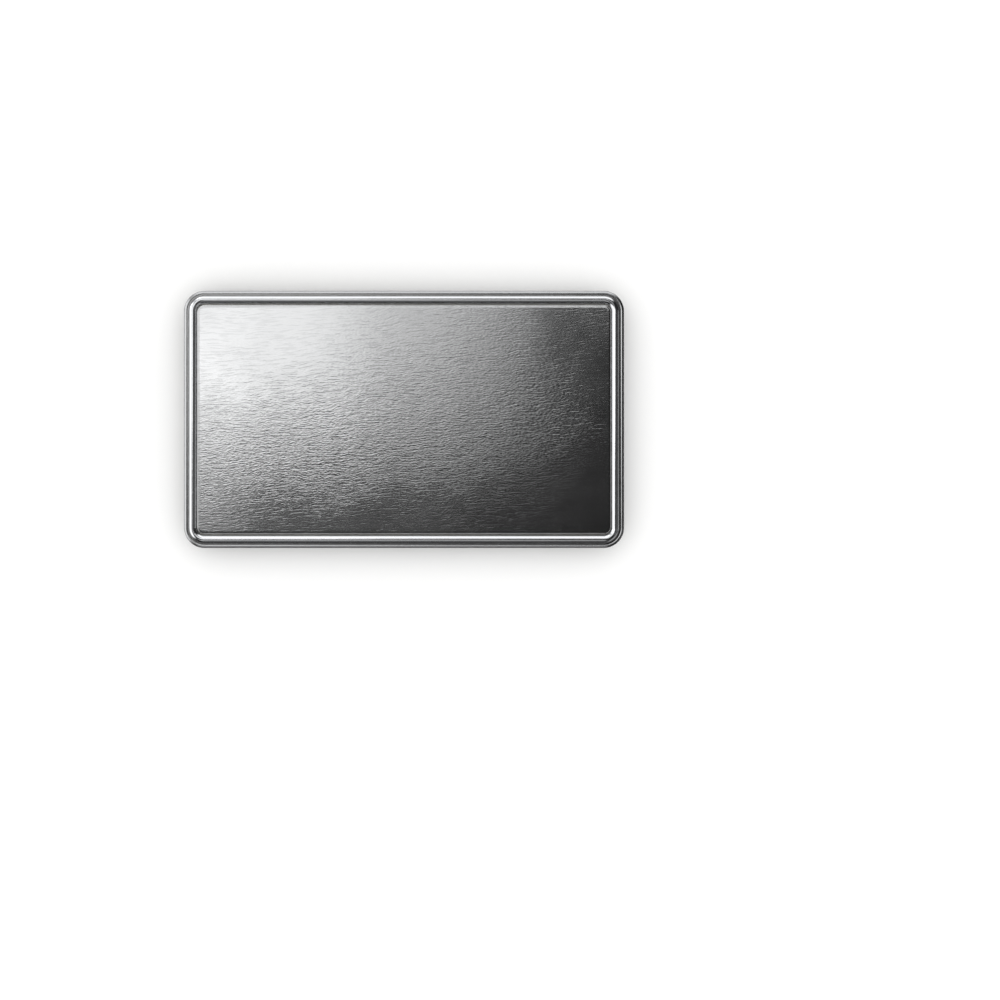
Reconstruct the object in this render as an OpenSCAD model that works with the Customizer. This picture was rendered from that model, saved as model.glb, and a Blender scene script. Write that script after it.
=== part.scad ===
/* [Badge] */
// Length of the badge's long side
badge_w = 76.2; // [60:0.1:90]
// Length of the badge's short side
badge_h = 44.5; // [44:0.1:60]
// Radius of the badge's corners
corner_r = 3.5; // [3.3:0.1:5]
// How far the magnet holds the back plate above the surface
stand_off = 2.2; // [2.1:0.1:2.4]

/* [Back plate] */
// Thickness of the back plate
plate_t = 1.8; // [1.8:0.1:2.6]
// Radius of the round along the back plate's back edge
plate_round = 0.9; // [0.4:0.1:1.2]
// Step in from the bezel's edge to the back plate's edge
plate_step = 0.15; // [0.1:0.05:0.4]

/* [Bezel] */
// Width of the flat lip outside the bead
lip_w = 0.65; // [0.5:0.05:0.7]
// Thickness of the lip
lip_t = 0.75; // [0.5:0.05:0.9]
// Radius of the lip's rounded edge
lip_round = 0.2; // [0.1:0.05:0.3]
// Width of the bead where it meets the lip
bead_w = 1.55; // [1.3:0.05:1.6]
// Radius of the bead's round top
bead_r = 0.8; // [0.8:0.05:1]

/* [Face panel] */
// Thickness of the face panel
panel_t = 1; // [0.8:0.05:1.2]
// Radius of the round along the panel's edge
panel_round = 0.35; // [0.2:0.05:0.5]

/* [Keeper dish] */
// Radius of the keeper dish
dish_r = 18.8; // [18.8:0.05:19.5]
// Thickness of the dish's floor and flange
dish_t = 0.6; // [0.5:0.05:0.65]
// Radius of the circle along the top of the raised lip
ring_lip_r = 14.55; // [14.4:0.05:14.7]
// Half the width of the raised lip
ring_lip_half = 0.45; // [0.35:0.05:0.5]
// Height of the raised lip above the back plate
ring_lip_h = 1; // [0.8:0.05:1.2]
// Radius of the hollow curve at the foot of the raised lip
ring_lip_foot = 0.55; // [0.4:0.05:0.6]
// Radius of the circle along the middle of the smooth band
band_mid_r = 17.1; // [17:0.05:17.2]
// Radius of the band's round section
band_r = 1.2; // [1:0.05:1.3]
// Height of the band above the back plate
band_h = 0.35; // [0.2:0.05:0.4]
// Radius of the thin bead round the dish
rim_bead_r = 0.33; // [0.25:0.01:0.35]

/* [Magnet] */
// Radius of the magnet's cap
cap_r = 12.6; // [12:0.1:12.7]
// Height of the cap
cap_h = 3; // [2.8:0.1:3.1]
// Thickness of the cap's sheet
cap_t = 0.6; // [0.5:0.05:0.8]
// Radius of the cap's rounded edge
cap_round = 0.45; // [0.3:0.05:0.5]
// Room between the cap and the foot of the dish's wall, for the cloth
cloth_room = 0.85; // [0.7:0.05:0.9]
// Depth of the marks stamped in the cap
stamp_depth = 0.25; // [0.1:0.05:0.3]
// Number of stamped bars
bar_count = 24; // [12:1:30]
// Length of a stamped bar
bar_len = 3.2; // [2:0.1:3.3]
// Width of a stamped bar
bar_w = 0.75; // [0.4:0.05:0.9]
// Radius of the circle through the middle of the bars
bar_mid_r = 8.7; // [8.6:0.1:9]
// Width of the stamped window
window_w = 8.4; // [6:0.1:8.6]
// Height of the stamped window
window_h = 4.4; // [3:0.1:4.6]
// Corner radius of the stamped window
window_r = 1.1; // [0.5:0.1:1.4]
// Distance from the cap's centre to the window's lower edge
window_low = 0.4; // [0.3:0.1:0.5]

/* [Hidden] */
$fn = 96;
// Clearance between pieces that sit in each other
gap = 0.05;
// How far a cutting shape runs past the face that it opens
over = 1;
front_z = stand_off + plate_t;
plate_w = badge_w - 2 * plate_step;
plate_h = badge_h - 2 * plate_step;
plate_r = corner_r - plate_step;
bezel_band = lip_w + bead_w;
bead_centre_z = lip_t - sqrt(bead_r * bead_r - bead_w * bead_w / 4);
panel_inset = bezel_band + gap;
panel_w = badge_w - 2 * panel_inset;
panel_h = badge_h - 2 * panel_inset;
panel_r = corner_r - panel_inset;
// The dish's flange sits in a counterbore in the plate, and its floor lies on the cap
flange_z = stand_off + gap;
flange_top = flange_z + dish_t;
counterbore_depth = dish_t + 2 * gap;
floor_z = cap_h + gap;
floor_r = cap_r + cloth_room;
wall_out = 0.65;
hole_r = ring_lip_r + 0.3;
ring_lip_in = ring_lip_r - ring_lip_half;
ring_lip_out = ring_lip_r + ring_lip_half;
ring_lip_z = stand_off - ring_lip_h + ring_lip_half;
rim_bead_mid = dish_r - rim_bead_r;
cavity_r = cap_r - cap_t;

module round_rect(w, h, r) {
    square([w - 2 * r, h], center = true);
    square([w, h - 2 * r], center = true);
    for (x = [-1, 1], y = [-1, 1]) translate([x * (w / 2 - r), y * (h / 2 - r)]) circle(r);
}

// A slab with round corners and a rounded top edge: a plain core with its edge swept round it
module slab(w, h, r, t, round_r) {
    band = (r + round_r) / 2;
    linear_extrude(t) round_rect(w - 2 * band, h - 2 * band, r - band);
    frame(w, h, r) edge_section(band, t, round_r);
}

// A closed frame with round corners, swept from a section that is drawn to the left of x = 0
module frame(w, h, r) {
    for (side = [0:3]) {
        reach = side % 2 == 0 ? w / 2 : h / 2;
        run = side % 2 == 0 ? h - 2 * r : w - 2 * r;
        rotate(90 * side) {
            translate([reach, 0, 0]) rotate([90, 0, 0]) linear_extrude(run, center = true) children();
            translate([reach - r, run / 2, 0]) rotate_extrude(angle = 90) translate([r, 0]) children();
        }
    }
}

// Section of an edge from its inner side out to x = 0, with its top outer corner rounded
module edge_section(band, t, round_r) {
    translate([-band, 0]) square([band - round_r, t]);
    translate([-band, 0]) square([band, t - round_r]);
    translate([-round_r, t - round_r]) circle(round_r);
}

// The lip and the bead, whose round top stands on the lip's inner part
module bezel_section() {
    edge_section(bezel_band, lip_t, lip_round);
    intersection() {
        translate([-lip_w - bead_w / 2, bead_centre_z]) circle(bead_r);
        translate([-bezel_band, 0]) square([bead_w, lip_t + bead_r]);
    }
}

// Section of the dish, from its axis out to its rim
module dish_section() {
    polygon([
        [0, floor_z], [floor_r, floor_z],
        [ring_lip_in, ring_lip_z], [ring_lip_out, ring_lip_z],
        [ring_lip_out, flange_z], [rim_bead_mid, flange_z],
        [rim_bead_mid, flange_top], [hole_r - gap, flange_top],
        [floor_r + wall_out, floor_z + dish_t], [0, floor_z + dish_t]
    ]);
    translate([ring_lip_r, ring_lip_z]) circle(ring_lip_half);
    ring_lip_foot_section();
    band_section();
    translate([rim_bead_mid, flange_z]) circle(rim_bead_r);
}

module ring_lip_foot_section() {
    difference() {
        translate([ring_lip_out, flange_z - ring_lip_foot]) square(ring_lip_foot);
        translate([ring_lip_out + ring_lip_foot, flange_z - ring_lip_foot]) circle(ring_lip_foot);
    }
}

module band_section() {
    intersection() {
        translate([band_mid_r, stand_off - band_h + band_r]) circle(band_r);
        translate([band_mid_r - band_r, stand_off - band_h]) square([2 * band_r, band_h + dish_t / 2]);
    }
}

// A bar with round ends, lying along X
module bar_outline(length, w) {
    square([length - w, w], center = true);
    for (end = [-1, 1]) translate([end * (length - w) / 2, 0]) circle(w / 2);
}

module stamped_marks() {
    pitch = 360 / bar_count;
    for (i = [0:bar_count - 1]) {
        rotate((i + 0.5) * pitch) translate([bar_mid_r, 0]) bar_outline(bar_len, bar_w);
    }
    translate([0, window_low + window_h / 2]) round_rect(window_w, window_h, window_r);
}

module back_plate() {
    color("#8f8b81") difference() {
        translate([0, 0, front_z]) mirror([0, 0, 1]) slab(plate_w, plate_h, plate_r, plate_t, plate_round);
        translate([0, 0, stand_off - over]) cylinder(h = plate_t + 2 * over, r = hole_r);
        translate([0, 0, stand_off - over]) cylinder(h = counterbore_depth + over, r = dish_r + gap);
    }
}

module bezel() {
    color("#c8cacc") translate([0, 0, front_z]) frame(badge_w, badge_h, corner_r) bezel_section();
}

module face_panel() {
    color("#a4a6a8") translate([0, 0, front_z]) slab(panel_w, panel_h, panel_r, panel_t, panel_round);
}

module keeper_dish() {
    color("#9b978d") rotate_extrude() dish_section();
}

module magnet_cap() {
    color("#a8a493") difference() {
        rotate_extrude() {
            square([cap_r - cap_round, cap_h]);
            translate([0, cap_round]) square([cap_r, cap_h - cap_round]);
            translate([cap_r - cap_round, cap_round]) circle(cap_round);
        }
        translate([0, 0, cap_t]) cylinder(h = cap_h, r = cavity_r);
        translate([0, 0, -over]) linear_extrude(over + stamp_depth) stamped_marks();
    }
}

module magnet() {
    color("#4b4c4e") translate([0, 0, cap_t + gap]) cylinder(h = cap_h - cap_t - 2 * gap, r = cavity_r - gap);
}

back_plate();
bezel();
face_panel();
keeper_dish();
magnet_cap();
magnet();
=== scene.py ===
import bpy
import bmesh
import math
from mathutils import Matrix, Vector


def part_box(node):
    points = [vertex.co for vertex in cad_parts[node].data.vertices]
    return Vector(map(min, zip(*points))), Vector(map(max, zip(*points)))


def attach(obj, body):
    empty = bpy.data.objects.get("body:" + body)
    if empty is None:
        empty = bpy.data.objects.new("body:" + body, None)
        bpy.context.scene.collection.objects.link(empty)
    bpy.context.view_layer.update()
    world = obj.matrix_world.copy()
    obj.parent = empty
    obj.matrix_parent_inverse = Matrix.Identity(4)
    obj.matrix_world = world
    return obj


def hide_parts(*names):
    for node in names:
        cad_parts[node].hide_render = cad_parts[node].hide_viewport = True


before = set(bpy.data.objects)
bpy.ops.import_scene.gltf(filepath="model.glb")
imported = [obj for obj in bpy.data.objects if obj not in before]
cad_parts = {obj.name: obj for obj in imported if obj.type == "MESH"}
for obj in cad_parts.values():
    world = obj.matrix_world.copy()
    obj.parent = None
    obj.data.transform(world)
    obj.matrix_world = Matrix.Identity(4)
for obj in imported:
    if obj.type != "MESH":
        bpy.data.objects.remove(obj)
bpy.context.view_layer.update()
mm = 0.001
weldGap = 0.002 * mm  # verts closer than this are one
sharpAngle = math.radians(35)  # a steeper fold is shaded as an edge
noiseSpread = (0.3, 0.7)  # where most of a noise pattern lies


# drawing and sweeping sections

def onlyOf(kind, geom):
    return [g for g in geom if isinstance(g, kind)]


def penStart(bm, x, z):
    return bm.verts.new((x, 0, z))


def penLine(bm, vert, x, z):
    tip = bmesh.ops.extrude_vert_indiv(bm, verts=[vert])["verts"][0]
    tip.co = (x, vert.co.y, z)
    return tip


def penArc(bm, vert, centreX, centreZ, degrees, steps):
    # counter-clockwise seen with x to the right and z up
    made = bmesh.ops.spin(bm, geom=[vert], cent=(centreX, vert.co.y, centreZ), axis=(0, -1, 0),
                          angle=math.radians(degrees), steps=steps)
    return onlyOf(bmesh.types.BMVert, made["geom_last"])[0]


def sweepFrame(bm, width, height, cornerRadius, cornerSteps, margin):
    # carries the drawn section round a rectangle with round corners, starting at its right side
    edges = bm.edges[:]
    bmesh.ops.translate(bm, verts=bm.verts, vec=(width / 2, cornerRadius - height / 2, 0))
    for side in range(4):
        turn = Matrix.Rotation(math.radians(90 * side), 3, "Z")
        reach = (width, height)[side % 2] / 2 - cornerRadius
        run = (height, width)[side % 2] - 2 * cornerRadius
        for length in (margin, run - 2 * margin, margin):
            geom = bmesh.ops.extrude_edge_only(bm, edges=edges)["geom"]
            verts = set(onlyOf(bmesh.types.BMVert, geom))
            edges = [e for e in onlyOf(bmesh.types.BMEdge, geom) if set(e.verts) <= verts]
            bmesh.ops.translate(bm, verts=list(verts), vec=turn @ Vector((0, length, 0)))
        spun = bmesh.ops.spin(bm, geom=list(verts) + edges, cent=turn @ Vector((reach, run / 2, 0)),
                              axis=(0, 0, 1), angle=math.radians(90), steps=cornerSteps)
        edges = onlyOf(bmesh.types.BMEdge, spun["geom_last"])
    bmesh.ops.remove_doubles(bm, verts=bm.verts, dist=weldGap)


def spinRound(bm, steps):
    # carries the drawn section once round the z axis
    bmesh.ops.spin(bm, geom=bm.verts[:] + bm.edges[:], cent=(0, 0, 0), axis=(0, 0, 1),
                   angle=math.radians(360), steps=steps, use_merge=True)
    bmesh.ops.remove_doubles(bm, verts=bm.verts, dist=weldGap)


def fillAt(bm, z):
    # closes the flat region between all the open loops at one height
    openEdges = [e for e in bm.edges
                 if len(e.link_faces) < 2 and all(abs(v.co.z - z) < weldGap for v in e.verts)]
    bmesh.ops.triangle_fill(bm, use_beauty=True, use_dissolve=False, edges=openEdges, normal=(0, 0, 1))


def makePiece(name, bm, body, nodeName, material):
    bmesh.ops.remove_doubles(bm, verts=bm.verts, dist=weldGap)
    bmesh.ops.recalc_face_normals(bm, faces=bm.faces)
    mesh = bpy.data.meshes.new(name)
    bm.to_mesh(mesh)
    bm.free()
    mesh.shade_smooth()
    mesh.set_sharp_from_angle(angle=sharpAngle)
    piece = bpy.data.objects.new(name, mesh)
    bpy.context.collection.objects.link(piece)
    mesh.materials.append(material)
    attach(piece, body)
    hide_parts(nodeName)
    print("made", name, "with", len(mesh.polygons), "faces")


# small helpers for the finishes
# in the settings, a Range is the stretch of a noise pattern over which a mark sets in, and a Fade is
# the stretch of height or radius

def newMaterial(name):
    material = bpy.data.materials.new(name)
    material.use_nodes = True
    tree = material.node_tree
    shader = tree.nodes["Principled BSDF"]
    shader.inputs["Metallic"].default_value = 1
    return material, tree, shader


def addNode(tree, kind, **settings):
    node = tree.nodes.new(kind)
    for key, value in settings.items():
        setattr(node, key, value)
    return node


def feed(tree, socket, value):
    # a number or a colour is set on the socket, and anything else is linked to it
    if isinstance(value, (int, float)):
        socket.default_value = value
    elif isinstance(value, tuple):
        socket.default_value = (*value, 1)
    else:
        tree.links.new(value, socket)


def objectPattern(tree, scale=(1, 1, 1), turn=0):
    coords = addNode(tree, "ShaderNodeTexCoord")
    mapping = addNode(tree, "ShaderNodeMapping")
    mapping.inputs["Rotation"].default_value = (0, 0, math.radians(turn))
    mapping.inputs["Scale"].default_value = scale
    tree.links.new(coords.outputs["Object"], mapping.inputs["Vector"])
    return mapping.outputs["Vector"]


def axisOf(tree, vector, axis):
    split = addNode(tree, "ShaderNodeSeparateXYZ")
    tree.links.new(vector, split.inputs[0])
    return split.outputs[axis]


def heightOf(tree):
    return axisOf(tree, objectPattern(tree), "Z")


def radiusOf(tree):
    # distance from the z axis
    out = addNode(tree, "ShaderNodeVectorMath", operation="LENGTH")
    tree.links.new(objectPattern(tree, (1, 1, 0)), out.inputs[0])
    return out.outputs["Value"]


def noisePattern(tree, vector, size, detail=2, roughness=0.5, distortion=0):
    noise = addNode(tree, "ShaderNodeTexNoise")
    noise.inputs["Scale"].default_value = 1 / size
    noise.inputs["Detail"].default_value = detail
    noise.inputs["Roughness"].default_value = roughness
    noise.inputs["Distortion"].default_value = distortion
    tree.links.new(vector, noise.inputs["Vector"])
    return noise.outputs["Fac"]


def ramp(tree, value, start, end, first=0, last=1, smooth=False):
    # first where the value is at start or before, and last where it is at end or past it
    node = addNode(tree, "ShaderNodeMapRange", interpolation_type="SMOOTHSTEP" if smooth else "LINEAR")
    for key, number in (("From Min", start), ("From Max", end), ("To Min", first), ("To Max", last)):
        node.inputs[key].default_value = number
    tree.links.new(value, node.inputs["Value"])
    return node.outputs["Result"]


def fade(tree, value, start, end, first=0, last=1):
    return ramp(tree, value, start, end, first, last, smooth=True)


def above(level, pair):
    # two heights that are given from a level
    return level + pair[0], level + pair[1]


def combine(tree, operation, first, *others):
    for other in others:
        node = addNode(tree, "ShaderNodeMath", operation=operation)
        feed(tree, node.inputs[0], first)
        feed(tree, node.inputs[1], other)
        first = node.outputs[0]
    return first


def nearTo(tree, value, middle, inner, outer):
    # 1 within inner of the middle, fading to 0 at outer
    off = addNode(tree, "ShaderNodeMath", operation="ABSOLUTE")
    tree.links.new(combine(tree, "SUBTRACT", value, middle), off.inputs[0])
    return fade(tree, off.outputs[0], inner, outer, 1, 0)


mixSockets = {"FLOAT": (2, 3, 0), "RGBA": (6, 7, 2)}  # the mix node's two inputs and its output


def mix(tree, kind, factor, low, high):
    node = addNode(tree, "ShaderNodeMix", data_type=kind)
    first, second, result = mixSockets[kind]
    feed(tree, node.inputs[0], factor)
    feed(tree, node.inputs[first], low)
    feed(tree, node.inputs[second], high)
    return node.outputs[result]


def mixColours(tree, factor, low, high):
    return mix(tree, "RGBA", factor, low, high)


def bumpFrom(tree, height, distance, under=None):
    bump = addNode(tree, "ShaderNodeBump")
    bump.inputs["Strength"].default_value = 1
    bump.inputs["Distance"].default_value = distance
    tree.links.new(height, bump.inputs["Height"])
    if under:
        tree.links.new(under, bump.inputs["Normal"])
    return bump.outputs["Normal"]


# camera, straight above the badge as in the photo

view = {
    "frameSize": 1000,
    "badgeCentrePx": (404, 419.4),
    "badgeWidthPx": 440.3,
    "distance": 800 * mm,
    "sensor": 36,  # a camera's sensor and lens are in mm
    "clipStart": 10 * mm,
    "clipEnd": 20,
}


def makeCamera(s):
    low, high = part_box("bezel")
    perPixel = (high.x - low.x) / s["badgeWidthPx"]
    camera = bpy.data.cameras.new("camera")
    camera.sensor_width = s["sensor"]
    camera.lens = s["sensor"] * s["distance"] / (s["frameSize"] * perPixel)
    camera.clip_start = s["clipStart"]
    camera.clip_end = s["clipEnd"]
    holder = bpy.data.objects.new("camera", camera)
    middle = s["frameSize"] / 2
    centreX, centreY = s["badgeCentrePx"]
    holder.location = ((middle - centreX) * perPixel, (centreY - middle) * perPixel,
                       high.z + s["distance"])
    bpy.context.collection.objects.link(holder)
    bpy.context.scene.camera = holder


makeCamera(view)
print("camera placed")


# bezel: a satin lip with a low ridge, a narrow valley and a round polished bead

bezelSettings = {
    "cornerRadius": 3.5 * mm,
    "lipWidth": 0.74 * mm,
    "lipThickness": 0.8 * mm,
    "lipRound": 0.2 * mm,
    "crownIn": 0.38 * mm,  # from the side to the top of the lip's low ridge
    "lipCrown": 0.2 * mm,
    "lipOut": 18,  # how far the ridge leans out and in, in degrees
    "lipIn": 16,
    "valleyDrop": 0.036 * mm,
    "valleyLine": 0.02 * mm,  # keeps the ridge's shading off the valley
    "beadWidth": 1.46 * mm,
    "beadRadius": 0.76 * mm,
    "footRound": 0.06 * mm,
    "footSteps": 3,
    "arcSteps": 6,
    "beadSteps": 28,
    "cornerSteps": 28,
    "margin": 0.5 * mm,
    "colour": (0.8, 0.81, 0.83),
    "lipColour": (0.52, 0.525, 0.535),
    "valleyShadeColour": (0.33, 0.33, 0.33),
    "rubAndHighlightColour": (0.66, 0.665, 0.675),
    "tarnishAndShadeColour": (0.42, 0.41, 0.39),
    "roughness": 0.1,
    "lipRoughness": 0.17,
    "polishFade": (0.03 * mm, 0.14 * mm),  # heights above the lip where the bead's polish sets in
    "flatFade": (0.97, 0.99),  # how straight up a face looks
    "valleyFade": (0.004 * mm, 0.016 * mm),
    "rubSize": 1.1 * mm,
    "rubAndHighlightReach": 0.02 * mm,
    "rubAndHighlightRange": (0.3, 0.55),
    "rubAndHighlightLeast": 0.3,
    "tarnishAndShadeFade": (0.1 * mm, 0.34 * mm),
    "tarnishRange": (0.42, 0.62),
    "tarnishAndShadeMost": 0.8,
    "tarnishDull": 0.1,
    "smearSize": 1.111 * mm,
    "smearDull": 0.06,
    "dentDepth": 0.004 * mm,
    "pitSize": 0.25 * mm,
    "pitDepth": 0.0015 * mm,
}


def polishedRim(s):
    # a polished bead above a satin lip, told apart by their height
    material, tree, shader = newMaterial("polishedRim")
    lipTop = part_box("bezel")[0].z + s["lipThickness"]
    valleyZ = lipTop - s["valleyDrop"]
    coords = objectPattern(tree)
    height = axisOf(tree, coords, "Z")
    onBead = fade(tree, height, *above(lipTop, s["polishFade"]))
    # painted shade fills the valley: it is flat, and lower than the ridge
    facing = axisOf(tree, addNode(tree, "ShaderNodeTexCoord").outputs["Normal"], "Z")
    isFlat = ramp(tree, facing, *s["flatFade"])
    isLow = ramp(tree, height, *above(valleyZ, s["valleyFade"]), 1, 0)
    valleyShade = combine(tree, "MULTIPLY", isFlat, isLow)
    plain = mixColours(tree, onBead, s["lipColour"], s["colour"])
    plain = mixColours(tree, valleyShade, plain, s["valleyShadeColour"])
    # the lip's ridge is made paler, more in some places than in others: partly rubbed wear, partly a painted
    # highlight
    rub = noisePattern(tree, coords, s["rubSize"], detail=4, roughness=0.65)
    onRidge = nearTo(tree, height, lipTop, s["rubAndHighlightReach"] / 2, s["rubAndHighlightReach"])
    wornAndHighlight = combine(tree, "MULTIPLY", onRidge, fade(tree, rub, *s["rubAndHighlightRange"], s["rubAndHighlightLeast"], 1))
    # a faint tarnish stays low on the bead's flanks, where no cloth rubs, and painted shade darkens them by
    # the creases
    low = fade(tree, height, *above(lipTop, s["tarnishAndShadeFade"]), s["tarnishAndShadeMost"], 0)
    tarnishAndShade = combine(tree, "MULTIPLY", low, onBead, fade(tree, rub, *s["tarnishRange"], 1, 0))
    aged = mixColours(tree, tarnishAndShade, plain, s["tarnishAndShadeColour"])
    tree.links.new(mixColours(tree, wornAndHighlight, aged, s["rubAndHighlightColour"]), shader.inputs["Base Color"])
    smear = noisePattern(tree, coords, s["smearSize"], detail=3)
    dull = combine(tree, "ADD", ramp(tree, onBead, 0, 1, s["lipRoughness"], s["roughness"]),
                   ramp(tree, tarnishAndShade, 0, 1, 0, s["tarnishDull"]),
                   ramp(tree, smear, *noiseSpread, 0, s["smearDull"]))
    tree.links.new(dull, shader.inputs["Roughness"])
    dents = bumpFrom(tree, rub, s["dentDepth"])
    pits = noisePattern(tree, coords, s["pitSize"])
    tree.links.new(bumpFrom(tree, pits, s["pitDepth"], under=dents), shader.inputs["Normal"])
    return material


def makeBezel(s):
    low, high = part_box("bezel")
    bm = bmesh.new()
    band = s["lipWidth"] + s["beadWidth"]
    lipTop = low.z + s["lipThickness"]
    half = s["beadWidth"] / 2
    beadCentre = lipTop - math.sqrt(s["beadRadius"] ** 2 - half ** 2)
    sweep = 2 * math.degrees(math.asin(half / s["beadRadius"]))
    start = penStart(bm, -band, low.z)
    pen = penLine(bm, start, -s["footRound"], low.z)
    pen = penArc(bm, pen, -s["footRound"], low.z + s["footRound"], 90, s["footSteps"])
    # the lip is a low ridge: it leans out into the rounded side, and in to a valley beside the bead
    out, inward = math.radians(s["lipOut"]), math.radians(s["lipIn"])
    slopeTopX = s["lipCrown"] * math.sin(out) - s["crownIn"]
    slopeTopZ = lipTop - s["lipCrown"] * (1 - math.cos(out))
    slopeLowX = s["lipRound"] * (math.sin(out) - 1)
    slopeLowZ = slopeTopZ - (slopeLowX - slopeTopX) * math.tan(out)
    roundZ = slopeLowZ - s["lipRound"] * math.cos(out)
    innerX = -s["crownIn"] - s["lipCrown"] * math.sin(inward)
    innerZ = lipTop - s["lipCrown"] * (1 - math.cos(inward))
    valleyZ = lipTop - s["valleyDrop"]
    valleyX = innerX - (innerZ - valleyZ) / math.tan(inward)
    pen = penLine(bm, pen, 0, roundZ)
    pen = penArc(bm, pen, -s["lipRound"], roundZ, 90 - s["lipOut"], s["arcSteps"])
    pen = penLine(bm, pen, slopeTopX, slopeTopZ)
    pen = penArc(bm, pen, -s["crownIn"], lipTop - s["lipCrown"], s["lipOut"] + s["lipIn"], 2 * s["arcSteps"])
    pen = penLine(bm, pen, valleyX, valleyZ)
    pen = penLine(bm, pen, valleyX - s["valleyLine"], valleyZ)
    pen = penLine(bm, pen, -s["lipWidth"], valleyZ)
    pen = penLine(bm, pen, -s["lipWidth"], lipTop)
    pen = penArc(bm, pen, -s["lipWidth"] - half, beadCentre, sweep, s["beadSteps"])
    bm.edges.new((pen, start))
    sweepFrame(bm, high.x - low.x, high.y - low.y, s["cornerRadius"], s["cornerSteps"], s["margin"])
    makePiece("bezelRim", bm, "badge_front", "bezel", polishedRim(s))


makeBezel(bezelSettings)


# face panel: it falls off gently to a tight edge, and its brush grain is crinkled along the long side

panelSettings = {
    "cornerRadius": 1.25 * mm,
    "edgeRound": 0.15 * mm,
    "pillowRound": 2.4 * mm,  # the flat first falls off gently, then into the tight edge
    "pillowLean": 8.5,
    "edgeLine": 0.03 * mm,  # keeps the pillow's shading off the flat
    "shortBy": 0.19 * mm,  # how much wider the groove is above and below than at the ends
    "flatMargin": 0.3 * mm,
    "footRound": 0.05 * mm,
    "footSteps": 2,
    "arcSteps": 10,
    "cornerSteps": 18,
    "margin": 0.4 * mm,
    "colour": (0.665, 0.67, 0.675),
    "grooveColour": (0.615, 0.62, 0.625),
    "edgeColour": (0.88, 0.885, 0.89),
    "roughness": (0.12, 0.145),  # where it is clean, and where it is smeared
    "edgeRoughness": 0.08,
    "edgeFade": (-0.06 * mm, -0.005 * mm),  # heights from the top where the edge is smoother and has a painted highlight
    "rubAndHighlightRange": (0.3, 0.6),
    "rubAndHighlightLeast": 0.6,
    "smearSize": 9 * mm,
    "smearRange": (0.35, 0.7),
    "grainTilt": 4,
    "waveSize": 7 * mm,
    "waveHeight": 1.6 * mm,
    "crinkleSize": 0.15 * mm,
    "crinkleStretch": 3.4,
    "crinkleDepth": 0.0066 * mm,
    "grooveSize": 0.26 * mm,
    "grooveStretch": 10,
    "grooveDepth": 0.0028 * mm,
    "grooveRange": (0.36, 0.5),
    "depthRange": (0.35, 0.65),
    "depthVaries": (0.82, 1.15),
    # the grain is worn shallow towards three sides: which way each one faces, in degrees, where it
    # starts and ends, and what is left of the depth there
    "fullDepth": 1.35,
    "wornSides": (
        {"facing": 113, "start": 0, "end": 27 * mm, "left": 0.32},
        {"facing": -78, "start": 5 * mm, "end": 17 * mm, "left": 0.48},
        {"facing": 40, "start": 18 * mm, "end": 33 * mm, "left": 0.5},
    ),
}


def wavyGrain(tree, s, stretch):
    # Object coordinates drawn out along the long side, with the lines of the grain gently bent
    coords = addNode(tree, "ShaderNodeTexCoord")
    wave = noisePattern(tree, coords.outputs["Object"], s["waveSize"], detail=1.5)
    shift = addNode(tree, "ShaderNodeCombineXYZ")
    tree.links.new(combine(tree, "MULTIPLY", wave, s["waveHeight"]), shift.inputs["Y"])
    bent = addNode(tree, "ShaderNodeVectorMath", operation="ADD")
    tree.links.new(coords.outputs["Object"], bent.inputs[0])
    tree.links.new(shift.outputs[0], bent.inputs[1])
    drawnOut = addNode(tree, "ShaderNodeMapping", vector_type="TEXTURE")
    drawnOut.inputs["Rotation"].default_value = (0, 0, math.radians(s["grainTilt"]))
    drawnOut.inputs["Scale"].default_value = (stretch, 1, 1)
    tree.links.new(bent.outputs[0], drawnOut.inputs["Vector"])
    return drawnOut.outputs["Vector"]


def brushedPanel(s):
    material, tree, shader = newMaterial("brushedPanel")
    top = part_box("face_panel")[1].z
    # the rounded edge is smoother, and gets a painted highlight, unevenly along its length
    onEdge = fade(tree, heightOf(tree), *above(top, s["edgeFade"]), 1, 0)
    smear = noisePattern(tree, objectPattern(tree), s["smearSize"], detail=3, roughness=0.6)
    rubbedAndHighlight = combine(tree, "MULTIPLY", onEdge, fade(tree, smear, *s["rubAndHighlightRange"], s["rubAndHighlightLeast"], 1))
    # grooves are the low parts of a long noise, flat between them
    lines = noisePattern(tree, wavyGrain(tree, s, s["grooveStretch"]), s["grooveSize"], detail=1)
    groove = fade(tree, lines, *s["grooveRange"])
    grained = mixColours(tree, groove, s["grooveColour"], s["colour"])
    tree.links.new(mixColours(tree, rubbedAndHighlight, grained, s["edgeColour"]), shader.inputs["Base Color"])
    smeared = ramp(tree, smear, *s["smearRange"], *s["roughness"])
    tree.links.new(mix(tree, "FLOAT", rubbedAndHighlight, smeared, s["edgeRoughness"]), shader.inputs["Roughness"])
    # the depth of the grain wanders, and falls off towards the worn sides
    wornAndHighlight = []
    for side in s["wornSides"]:
        along = axisOf(tree, objectPattern(tree, turn=-side["facing"]), "X")
        wornAndHighlight.append(fade(tree, along, side["start"], side["end"], s["fullDepth"], side["left"]))
    wander = fade(tree, smear, *s["depthRange"], *s["depthVaries"])
    depth = combine(tree, "MULTIPLY", wander, combine(tree, "MINIMUM", *wornAndHighlight))
    crinkle = noisePattern(tree, wavyGrain(tree, s, s["crinkleStretch"]), s["crinkleSize"], detail=0)
    relief = bumpFrom(tree, combine(tree, "MULTIPLY", crinkle, depth), s["crinkleDepth"])
    grooves = combine(tree, "MULTIPLY", groove, depth)
    tree.links.new(bumpFrom(tree, grooves, s["grooveDepth"], under=relief), shader.inputs["Normal"])
    return material


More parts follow.
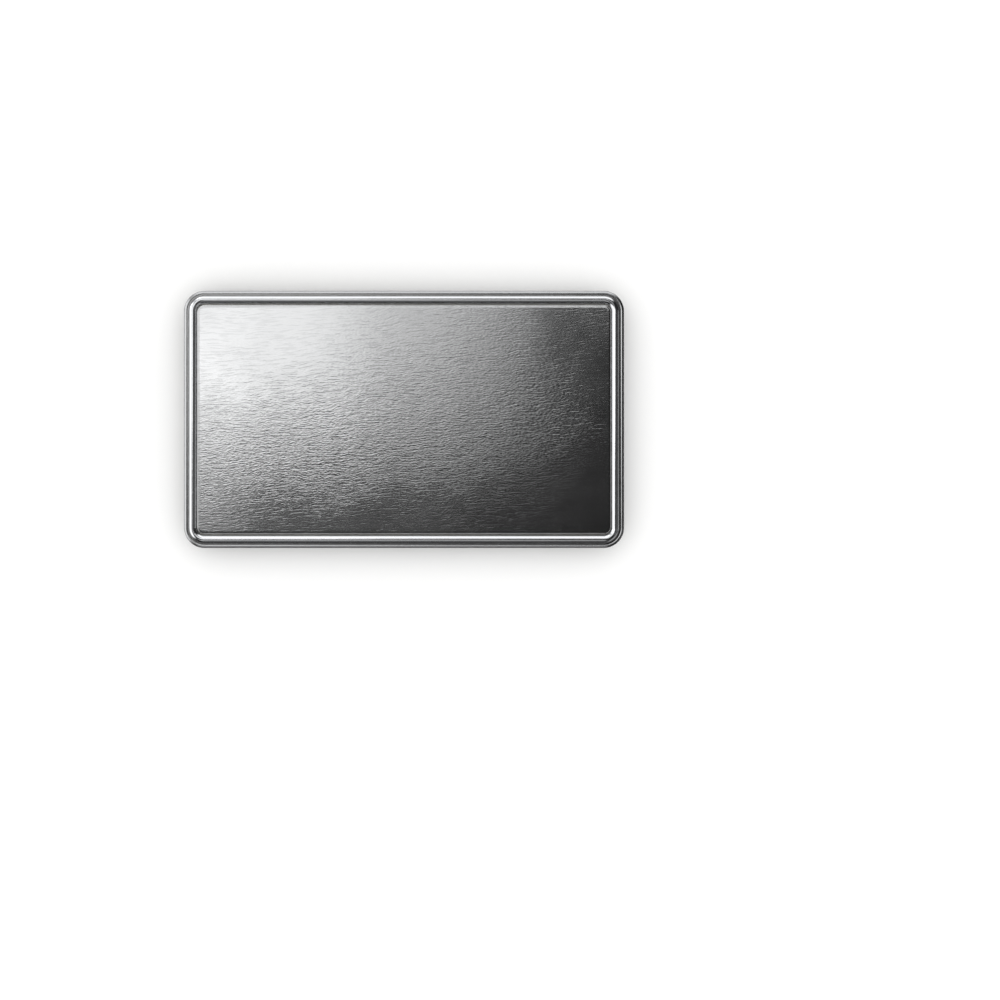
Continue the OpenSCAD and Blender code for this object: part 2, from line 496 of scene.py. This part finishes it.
def makePanel(s):
    low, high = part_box("face_panel")
    bm = bmesh.new()
    lean = math.radians(s["pillowLean"])
    pillow = s["edgeRound"] + (s["pillowRound"] - s["edgeRound"]) * math.sin(lean)
    edgeZ = high.z - s["pillowRound"] + (s["pillowRound"] - s["edgeRound"]) * math.cos(lean)
    band = pillow + s["flatMargin"]
    pen = penStart(bm, -band, low.z)
    pen = penLine(bm, pen, -s["footRound"], low.z)
    pen = penArc(bm, pen, -s["footRound"], low.z + s["footRound"], 90, s["footSteps"])
    pen = penLine(bm, pen, 0, edgeZ)
    pen = penArc(bm, pen, -s["edgeRound"], edgeZ, 90 - s["pillowLean"], s["arcSteps"])
    pen = penArc(bm, pen, -pillow, high.z - s["pillowRound"], s["pillowLean"], s["arcSteps"])
    pen = penLine(bm, pen, -pillow - s["edgeLine"], high.z)
    penLine(bm, pen, -band, high.z)
    height = high.y - low.y - 2 * s["shortBy"]
    sweepFrame(bm, high.x - low.x, height, s["cornerRadius"], s["cornerSteps"], s["margin"])
    fillAt(bm, low.z)
    fillAt(bm, high.z)
    makePiece("facePanel", bm, "badge_front", "face_panel", brushedPanel(s))


makePanel(panelSettings)


# back plate: blasted nickel with a soft back edge

plateSettings = {
    "cornerRadius": 3.35 * mm,
    "edgeRound": 0.9 * mm,
    "flatMargin": 0.5 * mm,
    "frontRound": 0.06 * mm,
    "frontSteps": 2,
    "counterboreDepth": 0.7 * mm,
    "dishClearance": 0.05 * mm,
    "holeRadius": 14.85 * mm,
    "arcSteps": 10,
    "cornerSteps": 24,
    "margin": 0.6 * mm,
    "ringSteps": 144,
    "colour": (0.72, 0.68, 0.585),
    "pitColour": (0.05, 0.048, 0.041),
    "stainColour": (0.6, 0.52, 0.43),
    "edgeColour": (0.76, 0.75, 0.715),
    "roughness": 0.36,
    "edgeRoughness": 0.46,
    "edgeFade": (0.01 * mm, 0.13 * mm),  # heights above the back where the smooth border sets in
    "edgeRelief": 0.22,
    "grainSize": 0.17 * mm,
    "grainDepth": 0.1 * mm,
    "grainDull": (0.06, -0.04),
    "pitRange": (0.4, 0.58),
    "stainSize": 5 * mm,
    "stainRange": (0.45, 0.75),
    "stainMost": 0.8,
    "blotchSize": 0.42 * mm,
    "blotchRange": (0.4, 0.5),
    "blotchMost": 0.8,
    "patchSize": 11 * mm,
    "patchRange": (0.52, 0.66),
    "pockSize": 0.8 * mm,
    "pockDepth": 0.015 * mm,
}


def blastedNickel(s):
    # blasted grain with dark pits and faint stains, and a smooth pale border where the edge is round
    material, tree, shader = newMaterial("blastedNickel")
    coords = objectPattern(tree)
    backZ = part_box("back_plate")[0].z
    onEdge = fade(tree, heightOf(tree), *above(backZ, s["edgeFade"]))
    grain = noisePattern(tree, coords, s["grainSize"], detail=1)
    stain = noisePattern(tree, coords, s["stainSize"], detail=3, roughness=0.6)
    stained = fade(tree, stain, *s["stainRange"], 0, s["stainMost"])
    plain = mixColours(tree, stained, s["colour"], s["stainColour"])
    # in some patches the pits run together into small dark blotches
    coarse = noisePattern(tree, coords, s["blotchSize"], detail=3, roughness=0.6)
    patches = noisePattern(tree, coords, s["patchSize"])
    blotches = combine(tree, "MULTIPLY", ramp(tree, coarse, *s["blotchRange"], s["blotchMost"], 0),
                       fade(tree, patches, *s["patchRange"]))
    pits = combine(tree, "MAXIMUM", ramp(tree, grain, *s["pitRange"], 1, 0), blotches)
    pitted = mixColours(tree, pits, plain, s["pitColour"])
    tree.links.new(mixColours(tree, onEdge, pitted, s["edgeColour"]), shader.inputs["Base Color"])
    dull = combine(tree, "ADD", ramp(tree, onEdge, 0, 1, s["roughness"], s["edgeRoughness"]),
                   ramp(tree, grain, *noiseSpread, *s["grainDull"]))
    tree.links.new(dull, shader.inputs["Roughness"])
    level = ramp(tree, onEdge, 0, 1, 1, s["edgeRelief"])
    pocks = noisePattern(tree, coords, s["pockSize"], detail=1)
    relief = bumpFrom(tree, combine(tree, "MULTIPLY", pocks, level), s["pockDepth"])
    relief = bumpFrom(tree, combine(tree, "MULTIPLY", grain, level), s["grainDepth"], under=relief)
    tree.links.new(relief, shader.inputs["Normal"])
    return material


def makeBackPlate(s):
    low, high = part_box("back_plate")
    bm = bmesh.new()
    band = s["edgeRound"] + s["flatMargin"]
    pen = penStart(bm, -band, low.z)
    pen = penLine(bm, pen, -s["edgeRound"], low.z)
    pen = penArc(bm, pen, -s["edgeRound"], low.z + s["edgeRound"], 90, s["arcSteps"])
    pen = penLine(bm, pen, 0, high.z - s["frontRound"])
    pen = penArc(bm, pen, -s["frontRound"], high.z - s["frontRound"], 90, s["frontSteps"])
    penLine(bm, pen, -band, high.z)
    sweepFrame(bm, high.x - low.x, high.y - low.y, s["cornerRadius"], s["cornerSteps"], s["margin"])
    # the stepped hole is spun by itself and then joined
    hole = bmesh.new()
    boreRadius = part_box("keeper_dish")[1].x + s["dishClearance"]
    pen = penStart(hole, boreRadius, low.z)
    pen = penLine(hole, pen, boreRadius, low.z + s["counterboreDepth"])
    pen = penLine(hole, pen, s["holeRadius"], low.z + s["counterboreDepth"])
    penLine(hole, pen, s["holeRadius"], high.z)
    spinRound(hole, s["ringSteps"])
    scratch = bpy.data.meshes.new("hole")
    hole.to_mesh(scratch)
    hole.free()
    bm.from_mesh(scratch)
    bpy.data.meshes.remove(scratch)
    fillAt(bm, low.z)
    fillAt(bm, high.z)
    makePiece("backPlate", bm, "badge_front", "back_plate", blastedNickel(s))


makeBackPlate(plateSettings)


# keeper dish: pressed rings round the magnet's seat

dishSettings = {
    "thickness": 0.6 * mm,
    "seatGap": 0.05 * mm,
    "floorRadius": 13.45 * mm,
    "lipRadius": 14.55 * mm,
    "lipHalf": 0.45 * mm,
    "lipHeight": 1 * mm,
    "lipSteps": 16,
    "footRound": 0.55 * mm,
    "footSteps": 8,
    "bandRadius": 17.1 * mm,
    "bandRound": 1.2 * mm,
    "bandHeight": 0.35 * mm,
    "bandSteps": 16,
    "rimBead": 0.33 * mm,
    "rimSteps": 14,
    "wallOut": 0.65 * mm,
    "ringSteps": 160,
    "colour": (0.62, 0.605, 0.56),
    "hollowColour": (0.14, 0.133, 0.114),
    "wallColour": (0.33, 0.3, 0.24),
    "roughness": 0.42,
    "hollowRoughness": 0.4,
    "grooveReach": (0.03 * mm, 0.2 * mm),
    "grooveDark": 0.7,
    "wallFade": 0.1 * mm,
    "grainSize": 0.26 * mm,
    "grainDepth": 0.09 * mm,
    "plainGrain": 0.06,  # how much of the grain is left outside the hollows
    "patchRange": (0.4, 0.62),
    "patchLeast": 0.4,
    "cloudSize": 3 * mm,
    "cloudRange": (0.35, 0.65),
    "cloudDull": 0.08,
    "scuffSize": 0.35 * mm,
    "scuffDepth": 0.003 * mm,
}


def pressedNickel(s):
    # smooth on its raised rings, dark and grainy in the valley between them, brownish inside the lip
    material, tree, shader = newMaterial("pressedNickel")
    coords = objectPattern(tree)
    radius = radiusOf(tree)
    lipOut = s["lipRadius"] + s["lipHalf"]
    lipIn = s["lipRadius"] - s["lipHalf"]
    bandIn = s["bandRadius"] - s["bandRound"] / 2
    valley = nearTo(tree, radius, (s["lipRadius"] + bandIn) / 2, (bandIn - lipOut) / 3, bandIn - lipOut)
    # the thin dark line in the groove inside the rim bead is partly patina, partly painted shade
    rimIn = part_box("keeper_dish")[1].x - 2 * s["rimBead"]
    rimGroove = combine(tree, "MULTIPLY", nearTo(tree, radius, rimIn, *s["grooveReach"]), s["grooveDark"])
    hollow = combine(tree, "MAXIMUM", valley, rimGroove)
    wall = fade(tree, radius, lipIn - s["wallFade"], s["lipRadius"] - s["wallFade"], 1, 0)
    grain = noisePattern(tree, coords, s["grainSize"], roughness=0.6)
    cloud = noisePattern(tree, coords, s["cloudSize"], detail=3, roughness=0.6)
    inner = mixColours(tree, fade(tree, cloud, *s["cloudRange"]), s["wallColour"], s["hollowColour"])
    plain = mixColours(tree, wall, s["colour"], inner)
    patchy = combine(tree, "MULTIPLY", hollow, fade(tree, grain, *s["patchRange"], 1, s["patchLeast"]))
    tree.links.new(mixColours(tree, patchy, plain, s["hollowColour"]), shader.inputs["Base Color"])
    inHollow = combine(tree, "MAXIMUM", hollow, wall)
    dull = combine(tree, "ADD", ramp(tree, inHollow, 0, 1, s["roughness"], s["hollowRoughness"]),
                   ramp(tree, cloud, *noiseSpread, 0, s["cloudDull"]))
    tree.links.new(dull, shader.inputs["Roughness"])
    scuffs = noisePattern(tree, coords, s["scuffSize"], detail=3, roughness=0.7)
    relief = bumpFrom(tree, scuffs, s["scuffDepth"])
    rough = combine(tree, "MULTIPLY", grain, ramp(tree, inHollow, 0, 1, s["plainGrain"], 1))
    tree.links.new(bumpFrom(tree, rough, s["grainDepth"], under=relief), shader.inputs["Normal"])
    return material


def makeKeeperDish(s):
    low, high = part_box("keeper_dish")
    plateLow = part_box("back_plate")[0].z
    rim = high.x
    rimMiddle = rim - s["rimBead"]
    flange = plateLow + s["seatGap"]
    flangeTop = flange + s["thickness"]
    lipOut = s["lipRadius"] + s["lipHalf"]
    lipZ = plateLow - s["lipHeight"] + s["lipHalf"]
    footZ = flange - s["footRound"]
    bandZ = plateLow - s["bandHeight"] + s["bandRound"]
    bandReach = math.acos((bandZ - flange) / s["bandRound"])
    bandHalf = s["bandRound"] * math.sin(bandReach)
    # out from the middle of the floor over wall, lip, valley, band and rim bead, and back on the far side
    bm = bmesh.new()
    pen = penStart(bm, 0, high.z - s["thickness"])
    pen = penLine(bm, pen, s["floorRadius"], high.z - s["thickness"])
    pen = penLine(bm, pen, s["lipRadius"] - s["lipHalf"], lipZ)
    pen = penArc(bm, pen, s["lipRadius"], lipZ, 180, s["lipSteps"])
    pen = penLine(bm, pen, lipOut, footZ)
    pen = penArc(bm, pen, lipOut + s["footRound"], footZ, -90, s["footSteps"])
    pen = penLine(bm, pen, s["bandRadius"] - bandHalf, flange)
    pen = penArc(bm, pen, s["bandRadius"], bandZ, math.degrees(2 * bandReach), s["bandSteps"])
    pen = penLine(bm, pen, rimMiddle - s["rimBead"], flange)
    pen = penArc(bm, pen, rimMiddle, flange, 180, s["rimSteps"])
    pen = penLine(bm, pen, rim, flange + s["thickness"] / 2)
    pen = penLine(bm, pen, rimMiddle, flangeTop)
    pen = penLine(bm, pen, s["floorRadius"] + 2 * s["wallOut"], flangeTop)
    pen = penLine(bm, pen, s["floorRadius"] + s["wallOut"], high.z)
    penLine(bm, pen, 0, high.z)
    spinRound(bm, s["ringSteps"])
    makePiece("keeperDish", bm, "badge_front", "keeper_dish", pressedNickel(s))


makeKeeperDish(dishSettings)


# magnet cap: pressed cup with stamped bars and a window

capSettings = {
    "sheet": 0.6 * mm,
    "edgeRound": 0.45 * mm,
    "edgeSteps": 8,
    "rimRound": 0.12 * mm,
    "rimSteps": 3,
    "ringSteps": 144,
    "barCount": 24,
    "barLength": 3.2 * mm,
    "barWidth": 0.75 * mm,
    "barRadius": 8.7 * mm,
    "barSegments": 20,
    "windowSize": (8.4 * mm, 4.4 * mm),
    "windowRound": 1.1 * mm,
    "windowLow": 0.4 * mm,
    "windowSegments": 32,
    "stampDepth": 0.25 * mm,
    "stampRoll": 0.16 * mm,
    "stampFoot": 0.08 * mm,
    # where the rolled edge and the foot of a mark have their rings, in radians
    "rollTurns": (0, 0.3, 0.6, 0.9, 1.2, math.pi / 2),
    "footTurns": (0.3, 0.7, 1.1, math.pi / 2),
    "colour": (0.64, 0.62, 0.55),
    "patinaColour": (0.016, 0.015, 0.011),
    "mottleColour": (0.085, 0.079, 0.06),
    "stainColour": (0.26, 0.24, 0.19),
    "edgeColour": (0.9, 0.88, 0.8),
    "roughness": 0.26,
    "patinaRoughness": 0.42,
    "patinaRadius": 8.6 * mm,
    "patinaFade": 0.9 * mm,
    "patinaWander": 1.6 * mm,
    "cloudSize": 2.6 * mm,
    "cloudRange": (0.25, 0.75),
    "mottleRange": (0.35, 0.7),
    "stainRange": (0.3, 0.5),
    "stainMost": 0.45,
    "sunkFade": (0.112 * mm, 0.225 * mm),  # depths where the floor of a mark turns dark
    "wornAndHighlightReach": (0.05 * mm, 0.075 * mm),  # how far from the middle of the roll it is made bright: partly wear, partly a painted highlight
    "wornAndHighlightMost": 0.85,
    "faceFade": 0.2 * mm,  # keeps the marks' finish off the cap's side
    "grainSize": 0.34 * mm,
    "grainDepth": 0.02 * mm,
    "grainDull": (0.07, -0.03),
    "dentSize": 2.2 * mm,
    "dentDepth": 0.02 * mm,
}


def stampedCap(s):
    # a bright outer band, a dark mottled patina in the middle, and stamped marks with dark floors and
    # edges brightened partly by wear and partly by a painted highlight
    material, tree, shader = newMaterial("stampedCap")
    coords = objectPattern(tree)
    radius, height = radiusOf(tree), heightOf(tree)
    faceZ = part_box("magnet_cap")[0].z
    grain = noisePattern(tree, coords, s["grainSize"], detail=3, roughness=0.65)
    cloud = noisePattern(tree, coords, s["cloudSize"], detail=4, roughness=0.6, distortion=0.4)
    wander = ramp(tree, cloud, *s["cloudRange"], s["patinaWander"], -s["patinaWander"])
    patina = combine(tree, "ADD", radius, wander)
    aged = fade(tree, patina, s["patinaRadius"] - s["patinaFade"], s["patinaRadius"] + s["patinaFade"], 1, 0)
    faceEnd = s["barRadius"] + s["barLength"]  # past the bars, and short of the round edge
    onFace = ramp(tree, radius, faceEnd, faceEnd + s["faceFade"], 1, 0)
    inMark = combine(tree, "MULTIPLY", fade(tree, height, *above(faceZ, s["sunkFade"])), onFace)
    # the marks' rolled edges are brightened: partly wear, partly a painted highlight
    onRoll = nearTo(tree, height, faceZ + s["stampRoll"] / 2, *s["wornAndHighlightReach"])
    wornAndHighlight = combine(tree, "MULTIPLY", onRoll, onFace, s["wornAndHighlightMost"])
    mottled = mixColours(tree, fade(tree, grain, *s["mottleRange"]), s["patinaColour"], s["mottleColour"])
    stained = fade(tree, grain, *s["stainRange"], s["stainMost"], 0)
    face = mixColours(tree, aged, mixColours(tree, stained, s["colour"], s["stainColour"]), mottled)
    face = mixColours(tree, inMark, face, mottled)
    tree.links.new(mixColours(tree, wornAndHighlight, face, s["edgeColour"]), shader.inputs["Base Color"])
    isDark = combine(tree, "MAXIMUM", aged, inMark)
    dull = combine(tree, "ADD", ramp(tree, isDark, 0, 1, s["roughness"], s["patinaRoughness"]),
                   ramp(tree, grain, *noiseSpread, *s["grainDull"]))
    tree.links.new(dull, shader.inputs["Roughness"])
    relief = bumpFrom(tree, noisePattern(tree, coords, s["dentSize"]), s["dentDepth"])
    tree.links.new(bumpFrom(tree, grain, s["grainDepth"], under=relief), shader.inputs["Normal"])
    return material


def stampPocket(width, height, cornerRadius, segments, s):
    # a sunk shape with a rolled edge and a rounded foot, open at its top
    bm = bmesh.new()
    roll, foot, depth = s["stampRoll"], s["stampFoot"], s["stampDepth"]
    rings = [(roll * math.sin(t), roll * (1 - math.cos(t))) for t in s["rollTurns"]]
    rings += [(roll + foot * (1 - math.cos(t)), depth - foot * (1 - math.sin(t))) for t in s["footTurns"]]
    outer = cornerRadius + roll
    loops = []
    for inset, sunk in rings:
        made = bmesh.ops.create_circle(bm, segments=segments, radius=outer - inset, cap_ends=False)["verts"]
        bmesh.ops.rotate(bm, verts=made, cent=(0, 0, 0), matrix=Matrix.Rotation(math.pi / segments, 3, "Z"))
        for v in made:
            v.co.x += math.copysign(width / 2 - cornerRadius, v.co.x)
            v.co.y += math.copysign(max(height / 2 - cornerRadius, 0), v.co.y)
            v.co.z = sunk
        loops.append(list({e for v in made for e in v.link_edges}))
        if len(loops) > 1:
            bmesh.ops.bridge_loops(bm, edges=loops[-2] + loops[-1])
    bmesh.ops.edgeloop_fill(bm, edges=loops[-1])
    mesh = bpy.data.meshes.new("pocket")
    bm.to_mesh(mesh)
    bm.free()
    return mesh


def addPocket(bm, pocket, turn, offset):
    before = set(bm.verts)
    bm.from_mesh(pocket)
    made = [v for v in bm.verts if v not in before]
    bmesh.ops.translate(bm, verts=made, vec=offset)
    bmesh.ops.rotate(bm, verts=made, cent=(0, 0, 0), matrix=Matrix.Rotation(turn, 3, "Z"))


def makeMagnetCap(s):
    low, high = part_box("magnet_cap")
    radius = high.x
    bm = bmesh.new()
    pen = penStart(bm, radius - 2 * s["edgeRound"], low.z)
    pen = penLine(bm, pen, radius - s["edgeRound"], low.z)
    pen = penArc(bm, pen, radius - s["edgeRound"], low.z + s["edgeRound"], 90, s["edgeSteps"])
    pen = penLine(bm, pen, radius, high.z - s["rimRound"])
    pen = penArc(bm, pen, radius - s["rimRound"], high.z - s["rimRound"], 90, s["rimSteps"])
    pen = penLine(bm, pen, radius - s["sheet"], high.z)
    pen = penLine(bm, pen, radius - s["sheet"], low.z + s["sheet"])
    penLine(bm, pen, 0, low.z + s["sheet"])
    spinRound(bm, s["ringSteps"])
    bar = stampPocket(s["barLength"], s["barWidth"], s["barWidth"] / 2, s["barSegments"], s)
    for i in range(s["barCount"]):
        addPocket(bm, bar, (i + 0.5) * 2 * math.pi / s["barCount"], (s["barRadius"], 0, low.z))
    wide, tall = s["windowSize"]
    window = stampPocket(wide, tall, s["windowRound"], s["windowSegments"], s)
    addPocket(bm, window, 0, (0, s["windowLow"] + tall / 2, low.z))
    fillAt(bm, low.z)
    makePiece("magnetCap", bm, "magnet_disc", "magnet_cap", stampedCap(s))


makeMagnetCap(capSettings)


# magnet: a plain ground disc inside the cap

magnetSettings = {
    "edgeRound": 0.15 * mm,
    "edgeSteps": 4,
    "ringSteps": 96,
    "colour": (0.16, 0.16, 0.17),
    "speckColour": (0.07, 0.07, 0.075),
    "edgeColour": (0.34, 0.34, 0.35),
    "roughness": 0.46,
    "edgeRoughness": 0.3,
    "rimFade": (-0.24 * mm, -0.09 * mm),  # from the outer radius
    "chipSize": 0.5 * mm,
    "chipRange": (0.42, 0.55),
    "grainSize": 0.16 * mm,
    "grainDepth": 0.01 * mm,
    "speckRange": (0.4, 0.55),
    "grindSize": 0.12 * mm,
    "grindSquash": 0.08,
    "grindDepth": 0.004 * mm,
}


def magnetCore(s):
    # ground, dark and slightly porous, with its edges rubbed paler
    material, tree, shader = newMaterial("magnetCore")
    coords = objectPattern(tree)
    grain = noisePattern(tree, coords, s["grainSize"], detail=3, roughness=0.65)
    chips = noisePattern(tree, coords, s["chipSize"], detail=3, roughness=0.7)
    atRim = fade(tree, radiusOf(tree), *above(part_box("magnet")[1].x, s["rimFade"]))
    rubbedAndHighlight = combine(tree, "MULTIPLY", atRim, fade(tree, chips, *s["chipRange"]))
    speckled = mixColours(tree, fade(tree, grain, *s["speckRange"], 1, 0), s["colour"], s["speckColour"])
    tree.links.new(mixColours(tree, rubbedAndHighlight, speckled, s["edgeColour"]), shader.inputs["Base Color"])
    dull = ramp(tree, rubbedAndHighlight, 0, 1, s["roughness"], s["edgeRoughness"])
    tree.links.new(dull, shader.inputs["Roughness"])
    grinding = noisePattern(tree, objectPattern(tree, (s["grindSquash"], 1, 1)), s["grindSize"])
    relief = bumpFrom(tree, grinding, s["grindDepth"])
    tree.links.new(bumpFrom(tree, grain, s["grainDepth"], under=relief), shader.inputs["Normal"])
    return material


def makeMagnet(s):
    low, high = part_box("magnet")
    radius = high.x
    edge = s["edgeRound"]
    bm = bmesh.new()
    pen = penStart(bm, 0, low.z)
    pen = penLine(bm, pen, radius - edge, low.z)
    pen = penArc(bm, pen, radius - edge, low.z + edge, 90, s["edgeSteps"])
    pen = penLine(bm, pen, radius, high.z - edge)
    pen = penArc(bm, pen, radius - edge, high.z - edge, 90, s["edgeSteps"])
    penLine(bm, pen, 0, high.z)
    spinRound(bm, s["ringSteps"])
    makePiece("magnetDisc", bm, "magnet_disc", "magnet", magnetCore(s))


makeMagnet(magnetSettings)


# floor, light and world

studio = {
    "floorSize": 6,
    "floorColour": (0.96, 0.96, 0.955),
    "floorMirrored": 0.11,  # what polished metal sees of the floor
    "backdrop": 1.45,
    "dim": 0.027,
    "horizon": 0.4,  # how much of the room's light is left near the floor
    "horizonFade": (0.02, 0.16),
    # glows of the room: their place and size in degrees, and their strength
    "glowColumns": ("azimuth", "height", "reach", "soft", "strength"),
    "glows": (
        (184, 28, 35, 7, 1.6),
        (88, 24, 34, 7, 1.5),
        (135, 18, 26, 16, 0.8),
        (-45, 8, 22, 16, 0.45),
        (-5, 16, 8, 4, 0.76),
        (-100, 56, 11, 6.5, 0.6),
        (-17, 58, 10, 5, 0.2),
    ),
    "softboxHeight": 300 * mm,
    "softboxStep": 2 * mm,  # one above the other, because lights in one plane hide each other
    # softboxes: their sides in mm, seen from above, and their radiance
    "softboxColumns": ("name", "left", "right", "low", "high", "radiance"),
    "softboxes": (
        ("farSoftbox", -199, -18, 1, 229, 0.6),
        ("lowSoftbox", -66, -46, -29, 32, 0.42),
        ("highSoftbox", -26, 74, 46, 112, 0.84),
        ("nearSoftbox", -63, 8, 0, 50, 0.29),
        ("wideSoftbox", -63, 24, 0, 50, 0.37),
        ("sideSoftbox", -150, -72, -42, 62, 0.45),
        ("topSoftbox", -120, -26, 60, 125, 0.36),
        ("footSoftbox", -42, 6, -62, -9, 0.045),
    ),
}


def rowsOf(s, table, columns):
    return [dict(zip(s[columns], row)) for row in s[table]]


def shownToGloss(tree, plain, gloss, out):
    # metal sees one thing, the camera and the floor another, as with flags round a product table
    path = addNode(tree, "ShaderNodeLightPath")
    choose = addNode(tree, "ShaderNodeMixShader")
    tree.links.new(path.outputs["Is Glossy Ray"], choose.inputs[0])
    tree.links.new(plain, choose.inputs[1])
    tree.links.new(gloss, choose.inputs[2])
    tree.links.new(choose.outputs[0], out.inputs["Surface"])


def makeFloor(s):
    bm = bmesh.new()
    bmesh.ops.create_grid(bm, x_segments=1, y_segments=1, size=s["floorSize"] / 2)
    mesh = bpy.data.meshes.new("floor")
    bm.to_mesh(mesh)
    bm.free()
    floor = bpy.data.objects.new("floor", mesh)
    bpy.context.collection.objects.link(floor)
    material = bpy.data.materials.new("paleFloor")
    material.use_nodes = True
    tree = material.node_tree
    tree.nodes.clear()
    pale = addNode(tree, "ShaderNodeBsdfDiffuse")
    feed(tree, pale.inputs["Color"], s["floorColour"])
    mirrored = addNode(tree, "ShaderNodeEmission")
    mirrored.inputs["Strength"].default_value = s["floorMirrored"]
    shownToGloss(tree, pale.outputs[0], mirrored.outputs[0], addNode(tree, "ShaderNodeOutputMaterial"))
    mesh.materials.append(material)


def glowOf(tree, direction, glow):
    azimuth, height = math.radians(glow["azimuth"]), math.radians(glow["height"])
    towards = addNode(tree, "ShaderNodeVectorMath", operation="DOT_PRODUCT")
    towards.inputs[1].default_value = (math.cos(azimuth) * math.cos(height),
                                       math.sin(azimuth) * math.cos(height), math.sin(height))
    tree.links.new(direction, towards.inputs[0])
    outer = math.cos(math.radians(glow["reach"] + glow["soft"]))
    inner = math.cos(math.radians(glow["reach"] - glow["soft"]))
    return fade(tree, towards.outputs["Value"], outer, inner, 0, glow["strength"])


def makeWorld(s):
    world = bpy.data.worlds.new("studio")
    bpy.context.scene.world = world
    world.use_nodes = True
    world.cycles.sampling_method = "NONE"  # so that each ray sees its own share of the room
    tree = world.node_tree
    tree.nodes.clear()
    direction = addNode(tree, "ShaderNodeTexCoord").outputs["Generated"]
    glows = [glowOf(tree, direction, glow) for glow in rowsOf(s, "glows", "glowColumns")]
    level = combine(tree, "ADD", s["dim"], *glows)
    lit = fade(tree, axisOf(tree, direction, "Z"), *s["horizonFade"], s["horizon"], 1)
    room = addNode(tree, "ShaderNodeBackground")
    tree.links.new(combine(tree, "MULTIPLY", level, lit), room.inputs["Strength"])
    backdrop = addNode(tree, "ShaderNodeBackground")
    backdrop.inputs["Strength"].default_value = s["backdrop"]
    shownToGloss(tree, backdrop.outputs[0], room.outputs[0], addNode(tree, "ShaderNodeOutputWorld"))


def makeSoftbox(box, height):
    # a panel of light that only metal sees, so that the floor stays evenly lit
    light = bpy.data.lights.new(box["name"], "AREA")
    light.shape = "RECTANGLE"
    light.size = (box["right"] - box["left"]) * mm
    light.size_y = (box["high"] - box["low"]) * mm
    light.energy = box["radiance"] * math.pi * light.size * light.size_y
    holder = bpy.data.objects.new(box["name"], light)
    holder.location = ((box["left"] + box["right"]) / 2 * mm, (box["low"] + box["high"]) / 2 * mm, height)
    holder.visible_camera = False
    holder.visible_diffuse = False
    bpy.context.collection.objects.link(holder)


makeFloor(studio)
makeWorld(studio)
for i, softbox in enumerate(rowsOf(studio, "softboxes", "softboxColumns")):
    makeSoftbox(softbox, studio["softboxHeight"] + i * studio["softboxStep"])
bpy.context.scene.view_settings.view_transform = "Standard"
print("studio ready")
